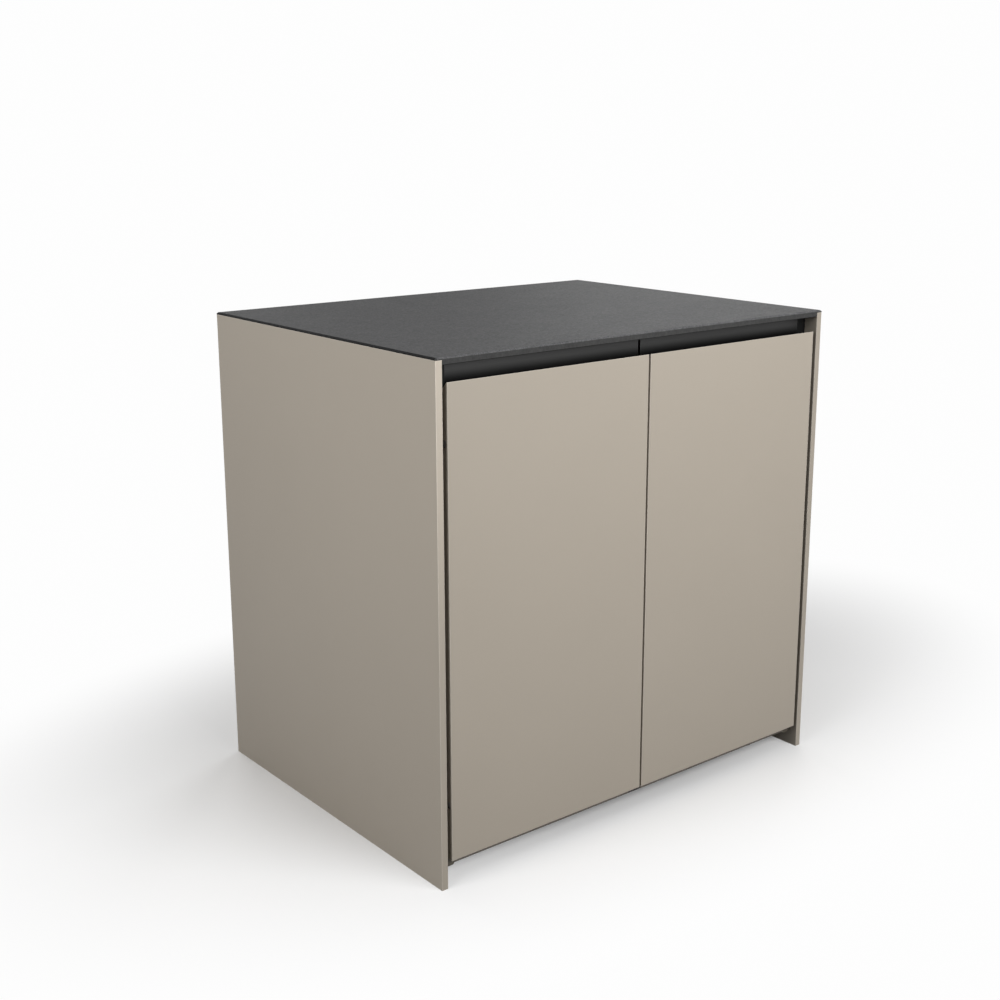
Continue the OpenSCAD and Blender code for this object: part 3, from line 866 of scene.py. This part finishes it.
@dataclass(frozen=True)
class Extrusion(Finish):
    """Aluminium drawn along X, with painted shade that makes it blacker toward its foot, and
    lighter cut ends.
    """

    PREFIX = "extrusion"

    colour: Colour = (0.227, 0.227, 0.226)
    cut: Colour = (0.36, 0.36, 0.36)
    cut_soft: Pair = (0.2 * MM, 0.7 * MM)
    # Painted shade toward the channel's foot: its tone there and the heights over which it sets in.
    foot_tone: float = 0.04
    foot_heights: Pair = (0.865, 0.886)
    brush: Brush = Brush((0.01, 1.0, 1.0), 1600.0, 0.35)
    line_tone: float = 0.5
    line_roughness: float = 0.12
    roughness: float = 0.40
    metallic: float = 0.5
    specular: float = 0.2

    def paint(self, mat: Material, box: Box) -> None:
        """Set up the material's nodes.

        Args:
            mat: The extrusion's material.
            box: The extrusion's corners.
        """
        sheet = mat.sheet
        axes = sheet.axes(mat.place)
        lines = mat.lines(self.brush.stretch, self.brush.scale)
        tone = sheet.maths("ADD", sheet.swing(lines, self.line_tone), 1.0)
        # Painted shade: the channel blacker toward its foot, where the door tops shade it.
        foot = sheet.step(axes[2], *self.foot_heights, self.foot_tone, 1.0)
        near = sheet.maths("MINIMUM", sheet.maths("SUBTRACT", axes[0], box.low.x),
                           sheet.maths("SUBTRACT", box.high.x, axes[0]))
        ends = sheet.step(near, *self.cut_soft, 1.0, 0.0)
        base = sheet.mix(ends, linear(self.colour), linear(self.cut))
        rough = sheet.maths("ADD", sheet.swing(lines, self.line_roughness), self.roughness)
        mat.set(Base_Color=mat.toned(base, sheet.maths("MULTIPLY", tone, foot)), Roughness=rough,
                Metallic=self.metallic, Specular_IOR_Level=self.specular)
        mat.bump(lines, self.brush.depth, self.brush.strength)


@dataclass(frozen=True)
class Moulding(Finish):
    """Moulded plastic with a fine eroded skin."""

    PREFIX = "moulding"

    colour: Colour
    roughness: float = 0.55
    specular: float = 0.45
    spread: float = 0.08
    mottle: Mottle = Mottle(60.0, 0.08, 1500.0, 0.15)
    skin: Skin = Skin(1800.0, 0.7, 0.08 * MM, 0.6)

    def paint(self, mat: Material, box: Box) -> None:
        """Set up the material's nodes.

        Args:
            mat: The moulding's material.
            box: The moulding's corners. Not used here.
        """
        mat.set(Base_Color=mat.toned(linear(self.colour), mat.mottled(self.mottle)),
                Roughness=mat.handled(self.roughness, self.spread),
                Specular_IOR_Level=self.specular)
        mat.relief(self.skin)


@dataclass(frozen=True)
class Plating(Finish):
    """Plated and lightly brushed steel."""

    PREFIX = "plating"

    colour: Colour
    roughness: float = 0.32
    metallic: float = 0.9
    brush: Brush = Brush((1.0, 0.05, 1.0), 2400.0, 0.3)
    line_roughness: float = 0.22
    stain: Mottle = Mottle(90.0, 0.10, 900.0, 0.06)

    def paint(self, mat: Material, box: Box) -> None:
        """Set up the material's nodes.

        Args:
            mat: The fitting's material.
            box: The fitting's corners. Not used here.
        """
        sheet = mat.sheet
        lines = mat.lines(self.brush.stretch, self.brush.scale)
        rough = sheet.maths("ADD", sheet.swing(lines, self.line_roughness), self.roughness)
        mat.set(Base_Color=mat.toned(linear(self.colour), mat.mottled(self.stain)),
                Roughness=rough, Metallic=self.metallic)
        mat.bump(lines, self.brush.depth, self.brush.strength)


@dataclass(frozen=True)
class Screw:
    """Pan-head screw with a cross recess, seen from its head."""

    head_r: float
    head_h: float
    recess_r: float
    recess_depth: float

    SEGMENTS = 24
    # Shares of the head's height by which its rim, dome and top rise.
    RISES = (0.55, 0.30, 0.15)
    # Shares of the head's radius by which its dome, top and recess draw in.
    INSETS = (0.16, 0.22, 0.08)
    SPOKES = 4
    # Half a spoke's width and its reach at the tip and beside it, as shares of the recess.
    SPOKE_HALF = 0.28
    TIP_REACH = 0.92
    CORNER_REACH = 0.88
    # Side of a tip's corner and reach of the inner corners, as shares of half a spoke's width.
    CORNER_SIDE = 0.8
    ROOT_REACH = 1.9
    INNER_REACH = 1.05
    # Scale of the recess's floor against its rim.
    SINK_SCALE = 0.72

    def add_to(self, mesh: bmesh.types.BMesh, seat: Vector, out: Vector) -> None:
        """Add one head to a mesh.

        Args:
            mesh: Mesh that takes the head.
            seat: Middle of the head's foot.
            out: Direction from the foot to the head's top.
        """
        made = bmesh.new()
        foot = bmesh.ops.create_circle(made, cap_ends=True, radius=self.head_r,
                                       segments=self.SEGMENTS)["verts"]
        rim = bmesh.ops.extrude_discrete_faces(made, faces=[foot[0].link_faces[0]])["faces"][0]
        bmesh.ops.contextual_create(made, geom=foot)
        for rise, inset in zip(self.RISES, self.INSETS):
            bmesh.ops.translate(made, verts=rim.verts, vec=(0, 0, self.head_h * rise))
            bmesh.ops.inset_individual(made, faces=[rim], thickness=self.head_r * inset)
        self._cross(made, rim)
        turn = Vector((0, 0, 1)).rotation_difference(out).to_matrix().to_4x4()
        bmesh.ops.transform(made, matrix=Matrix.Translation(seat) @ turn, verts=made.verts)
        bmesh.ops.recalc_face_normals(made, faces=made.faces)
        scratch = bpy.data.meshes.new("scratch")
        made.to_mesh(scratch)
        made.free()
        mesh.from_mesh(scratch)
        bpy.data.meshes.remove(scratch)

    def _cross(self, made: bmesh.types.BMesh, top: bmesh.types.BMFace) -> None:
        """Draw the top face in to a cross and sink it.

        Args:
            made: Mesh of the head.
            top: Its flat top face.
        """
        between = 2 * math.pi / self.SPOKES
        for vert in top.verts:
            angle = math.atan2(vert.co.y, vert.co.x)
            spoke = round(angle / between) * between
            reach, side = self._corner(angle - spoke)
            vert.co.x = math.cos(spoke) * reach - math.sin(spoke) * side
            vert.co.y = math.sin(spoke) * reach + math.cos(spoke) * side
        sunk = bmesh.ops.extrude_discrete_faces(made, faces=[top])["faces"][0]
        bmesh.ops.translate(made, verts=sunk.verts, vec=(0, 0, -self.recess_depth))
        bmesh.ops.scale(made, verts=sunk.verts, vec=(self.SINK_SCALE, self.SINK_SCALE, 1.0))

    def _corner(self, off: float) -> Pair:
        """Place a corner of the cross beside its spoke.

        Args:
            off: Angle from the spoke to the corner of the round face.

        Returns:
            Its reach along the spoke and its distance to the side.
        """
        half = self.recess_r * self.SPOKE_HALF
        corners = (
            (self.recess_r * self.TIP_REACH, 0.0),
            (self.recess_r * self.CORNER_REACH, half * self.CORNER_SIDE),
            (half * self.ROOT_REACH, half),
            (half * self.INNER_REACH, half * self.INNER_REACH),
        )
        count = round(abs(off) * self.SEGMENTS / (2 * math.pi))
        reach, side = corners[min(count, len(corners) - 1)]
        return reach, math.copysign(side, off)


def piece(name: str, mesh: bmesh.types.BMesh, smooth_below: float = 30.0) -> bpy.types.Object:
    """Make an object of a finished mesh, at the origin.

    Args:
        name: Name of the object.
        mesh: Mesh in the frame's coordinates. It is freed.
        smooth_below: Faces that meet at less than this angle, in degrees, are shaded smooth.

    Returns:
        The object, linked to the scene.
    """
    for face in mesh.faces:
        face.smooth = True
    for edge in mesh.edges:
        edge.smooth = edge.calc_face_angle(math.pi) < math.radians(smooth_below)
    data = bpy.data.meshes.new(name)
    mesh.to_mesh(data)
    mesh.free()
    made = bpy.data.objects.new(name, data)
    bpy.context.scene.collection.objects.link(made)
    return made


@dataclass
class Hardware:
    """Screws that hold the hinges and the back panel's brackets."""

    groups: EffectGroups
    finish: Plating = Plating((0.72, 0.72, 0.73), 0.28,
                              brush=Brush((1.0, 1.0, 1.0), 2400.0, 0.3))
    cup_screw: Screw = Screw(3.6 * MM, 1.1 * MM, 2.2 * MM, 0.8 * MM)
    plate_screw: Screw = Screw(4.4 * MM, 1.6 * MM, 2.6 * MM, 1.1 * MM)
    arm_screw: Screw = Screw(2.7 * MM, 1.4 * MM, 1.7 * MM, 0.9 * MM)
    bracket_screw: Screw = Screw(3.8 * MM, 1.5 * MM, 2.3 * MM, 1.0 * MM)
    pitch: float = 32 * MM
    cup_screw_x: float = 14.5 * MM
    cup_screw_z: float = 16 * MM
    arm_screw_y: Pair = (16 * MM, 46 * MM)
    arm_channel: float = 2.2 * MM
    plate_screw_y: float = 37 * MM
    bracket_hole: float = 24 * MM
    bracket_half: float = 15 * MM
    bracket_t: float = 2 * MM
    sunk: float = 0.2 * MM

    def build(self) -> list[bpy.types.Object]:
        """Model every group of screws and dress it.

        Returns:
            The new pieces.
        """
        made = []
        for side in Side:
            for level in Level:
                made.append(self._cup_screws(side, level))
                made.append(self._arm_screws(side, level))
        made.append(self._bracket_screws())
        for obj in made:
            material = self.finish.build(self.groups, obj.name, Box(Vector(), Vector()))
            obj.data.materials.append(material)
        return made

    def _cup_screws(self, side: Side, level: Level) -> bpy.types.Object:
        """Two screws through a hinge cup's flange, which turn with the door.

        Args:
            side: Cabinet of the hinge.
            level: Upper or lower hinge.

        Returns:
            The piece.
        """
        cup = Box.of(f"hinge_cup_{side.label}_{level.value}")
        middle_z = (cup.low.z + cup.high.z) / 2
        inner = cup.low.x if side is Side.RIGHT else cup.high.x
        middle_x = inner + side.sign * self.cup_screw_x
        mesh = bmesh.new()
        for shift in (-self.cup_screw_z, self.cup_screw_z):
            seat = Vector((middle_x, cup.high.y - self.sunk, middle_z + shift))
            self.cup_screw.add_to(mesh, seat, Vector((0, 1, 0)))
        made = piece(f"cup_screws_{side.label}_{level.value}", mesh)
        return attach(made, f"door_{side.label}")

    def _arm_screws(self, side: Side, level: Level) -> bpy.types.Object:
        """Two adjusting screws in a hinge arm and two fixing screws in its plate.

        Args:
            side: Cabinet of the hinge.
            level: Upper or lower hinge.

        Returns:
            The piece.
        """
        arm = Box.of(f"hinge_arm_{side.label}_{level.value}")
        front = Box.of(f"outer_side_{side.label}").low.y
        plates = Box.of(f"hinge_plates_{side.label}")
        middle_z = (arm.low.z + arm.high.z) / 2
        face = arm.low.x if side is Side.RIGHT else arm.high.x
        plate_face = plates.low.x if side is Side.RIGHT else plates.high.x
        inward = Vector((-side.sign, 0, 0))
        mesh = bmesh.new()
        for reach in self.arm_screw_y:
            seat = Vector((face, front + reach, middle_z)) - inward * self.arm_channel
            self.arm_screw.add_to(mesh, seat, inward)
        for shift in (-self.pitch / 2, self.pitch / 2):
            place = Vector((plate_face, front + self.plate_screw_y, middle_z + shift))
            self.plate_screw.add_to(mesh, place - inward * self.sunk, inward)
        made = piece(f"arm_screws_{side.label}_{level.value}", mesh)
        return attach(made, "island")

    def _bracket_screws(self) -> bpy.types.Object:
        """Screws through both legs of the four angle brackets.

        Returns:
            The piece.
        """
        box = Box.of("back_panel_brackets")
        mesh = bmesh.new()
        for z in (box.low.z + self.bracket_half, box.high.z - self.bracket_half):
            for side in Side:
                corner = box.high.x * side.sign
                hole_x = corner - side.sign * self.bracket_hole
                on_back = Vector((hole_x, box.high.y - self.bracket_t, z))
                face_x = corner - side.sign * self.bracket_t
                on_side = Vector((face_x, box.high.y - self.bracket_hole, z))
                self.bracket_screw.add_to(mesh, on_back, Vector((0, -1, 0)))
                self.bracket_screw.add_to(mesh, on_side, Vector((-side.sign, 0, 0)))
        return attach(piece("bracket_screws", mesh), "island")


@dataclass
class Dresser:
    """Gives every node of the frame its finish."""

    groups: EffectGroups
    nodes: dict[str, bpy.types.Object]
    zinc: Plating = Plating((0.70, 0.70, 0.71))
    nickel: Plating = Plating((0.68, 0.68, 0.69))
    satin_nickel: Plating = Plating((0.74, 0.74, 0.745), metallic=0.2)

    def _rules(self) -> tuple[tuple[str, Finish], ...]:
        """Pair the start of a node's name with its finish.

        Returns:
            The pairs, of which the first that fits a name counts.
        """
        return (
            ("worktop", Slab()),
            ("side_panel_screws", self.zinc),
            # The left panel's front edge gets a painted highlight near its top; the right panel's
            # gets painted shade above its lowest 0.3 m.
            ("side_panel_left", SidePanelLacquer(front_gain=1.32)),
            ("side_panel_right", SidePanelLacquer(front_gain=0.90, front_heights=(0.0, 0.3))),
            ("back_panel_brackets", self.zinc),
            ("back_panel", Lacquer()),
            ("door_bumpers", Moulding((0.20, 0.20, 0.20), 0.7)),
            ("door", Lacquer()),
            ("spacer_strips", Moulding((0.24, 0.22, 0.195), 0.75, 0.3)),
            ("grip_channel", Extrusion()),
            ("channel_cap", Moulding((0.04, 0.04, 0.041), 0.5, 0.15)),
            ("hinge_arm", self.satin_nickel),
            ("hinge_", self.nickel),
            ("shelf_pins", self.zinc),
            ("foot_hole_caps", Moulding((0.56, 0.54, 0.51), 0.5)),
            ("foot", Moulding((0.12, 0.11, 0.10), 0.6)),
            ("cabinet_connectors", self.zinc),
            # Band colours per board are set to paint the shade on their front edges; the carcass
            # back shows no band.
            ("bottom_panel", Board(band=(0.42, 0.395, 0.36))),
            ("outer_side", Board(band=(0.35, 0.325, 0.285))),
            ("carcass_back", Board(band=Board.colour)),
            ("", Board()),
        )

    def dress(self) -> None:
        """Put a finish on every node by its kind."""
        rules = self._rules()
        for name, node in sorted(self.nodes.items()):
            finish = next(rule for start, rule in rules if name.startswith(start))
            material = finish.build(self.groups, name, Box.of(name))
            node.data.materials.clear()
            node.data.materials.append(material)
            LOG.info("%s: %s", name, material.name)


@dataclass(frozen=True)
class Lamp:
    """A soft box that faces a point of the unit."""

    name: str
    place: Triple
    size: Pair
    watts: float
    aim: Triple = (0.0, 0.0, 0.45)

    def build(self) -> None:
        """Hang the lamp."""
        data = bpy.data.lights.new(self.name, "AREA")
        data.shape = "RECTANGLE"
        data.size, data.size_y = self.size
        data.energy = self.watts
        made = bpy.data.objects.new(self.name, data)
        made.location = self.place
        direction = Vector(self.aim) - Vector(self.place)
        made.rotation_euler = direction.to_track_quat("-Z", "Y").to_euler()
        made.visible_camera = False
        bpy.context.scene.collection.objects.link(made)


LAMPS = (
    Lamp("box_front", (0.3, -2.3, 1.5), (1.8, 1.0), 44.2),
    Lamp("box_left", (-2.4, -0.5, 1.5), (1.6, 1.0), 33.7),
    Lamp("box_back", (0.0, 2.8, 2.6), (2.4, 1.6), 37.9),
    Lamp("box_right_back", (2.6, 1.8, 2.2), (1.8, 1.8), 32.9),
    Lamp("box_over_doors", (0.0, -1.1, 1.9), (1.8, 0.8), 2.3),
)


@dataclass
class Studio:
    """Floor, world, lamps and camera."""

    ambient: float = 0.005
    white: float = 0.987
    floor_seen: Colour = (0.985, 0.985, 0.985)
    floor_bounce: float = 0.2
    floor_half: float = 30.0
    fade_middle: Pair = (0.149, 0.167)
    fade_stretch: float = 1.678
    fade_from: float = 0.62
    fade_to: float = 1.50
    eye: Triple = (-1.7313, -2.1075, 1.2606)
    gaze: Triple = (0.6133, 0.7538, -0.2360)
    lens: float = 51.01
    sensor: float = 36.0
    shift: Pair = (-0.01419, -0.03189)

    def build(self) -> None:
        """Set up everything around the unit."""
        bpy.context.scene.view_settings.view_transform = "Standard"
        self._camera()
        self._world()
        self._floor()
        for lamp in LAMPS:
            lamp.build()

    def _camera(self) -> None:
        """Camera at the photograph's viewing angle."""
        data = bpy.data.cameras.new("camera")
        data.lens = self.lens
        data.sensor_width = self.sensor
        data.shift_x, data.shift_y = self.shift
        made = bpy.data.objects.new("camera", data)
        made.location = self.eye
        made.rotation_euler = Vector(self.gaze).to_track_quat("-Z", "Y").to_euler()
        bpy.context.scene.collection.objects.link(made)
        bpy.context.scene.camera = made

    @staticmethod
    def _seen(sheet: Sheet) -> Socket:
        """Mask that is 1 for what the camera sees, itself or through gloss and glass.

        Args:
            sheet: Sheet that takes the mask's nodes.

        Returns:
            The mask.
        """
        path = sheet.node("LightPath").outputs
        mirrored = sheet.maths("MAXIMUM", path["Is Glossy Ray"], path["Is Transmission Ray"])
        return sheet.maths("MAXIMUM", path["Is Camera Ray"], mirrored)

    def _world(self) -> None:
        """White for the camera, a plain grey fill for the light."""
        world = bpy.data.worlds.new("world")
        world.use_nodes = True
        world.node_tree.nodes.clear()
        sheet = Sheet(world.node_tree)
        strength = sheet.node("MapRange", Value=self._seen(sheet), To_Min=self.ambient,
                              To_Max=self.white)
        shade = sheet.node("Background", Color=WHITE, Strength=strength.outputs[0])
        sheet.node("OutputWorld", Surface=shade.outputs[0])
        bpy.context.scene.world = world

    def _floor(self) -> None:
        """Pale floor that keeps the shadow and fades to the white around it."""
        mesh = bmesh.new()
        bmesh.ops.create_grid(mesh, x_segments=1, y_segments=1, size=self.floor_half)
        floor = piece("floor", mesh)
        made = bpy.data.materials.new("floor_paper")
        made.use_nodes = True
        made.node_tree.nodes.clear()
        sheet = Sheet(made.node_tree)
        seen = self._seen(sheet)
        grey = (self.floor_bounce, self.floor_bounce, self.floor_bounce, 1.0)
        paper = sheet.node("BsdfDiffuse", Color=sheet.mix(seen, grey, linear(self.floor_seen)))
        glow = sheet.node("Emission", Color=WHITE, Strength=self.white)
        oval = (1.0, self.fade_stretch, 1.0)
        place = sheet.scaled(sheet.node("TexCoord").outputs["Object"], oval)
        middle = (self.fade_middle[0], self.fade_middle[1] * self.fade_stretch, 0.0)
        away = sheet.vector_maths("DISTANCE", place, middle, "Value")
        far = sheet.maths("MULTIPLY", sheet.step(away, self.fade_from, self.fade_to), seen)
        both = sheet.node("MixShader", i0=far, i1=paper.outputs[0], i2=glow.outputs[0])
        sheet.node("OutputMaterial", Surface=both.outputs[0])
        floor.data.materials.append(made)


def main() -> None:
    """Build the scene around the frame and report each part of it."""
    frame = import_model()
    groups = EffectGroups()
    Dresser(groups, frame["nodes"]).dress()
    for made in Hardware(groups).build():
        LOG.info("%s: %d faces", made.name, len(made.data.polygons))
    Studio().build()


if __name__ == "__main__":
    logging.basicConfig(level=logging.INFO, format="%(name)s: %(message)s")
    main()
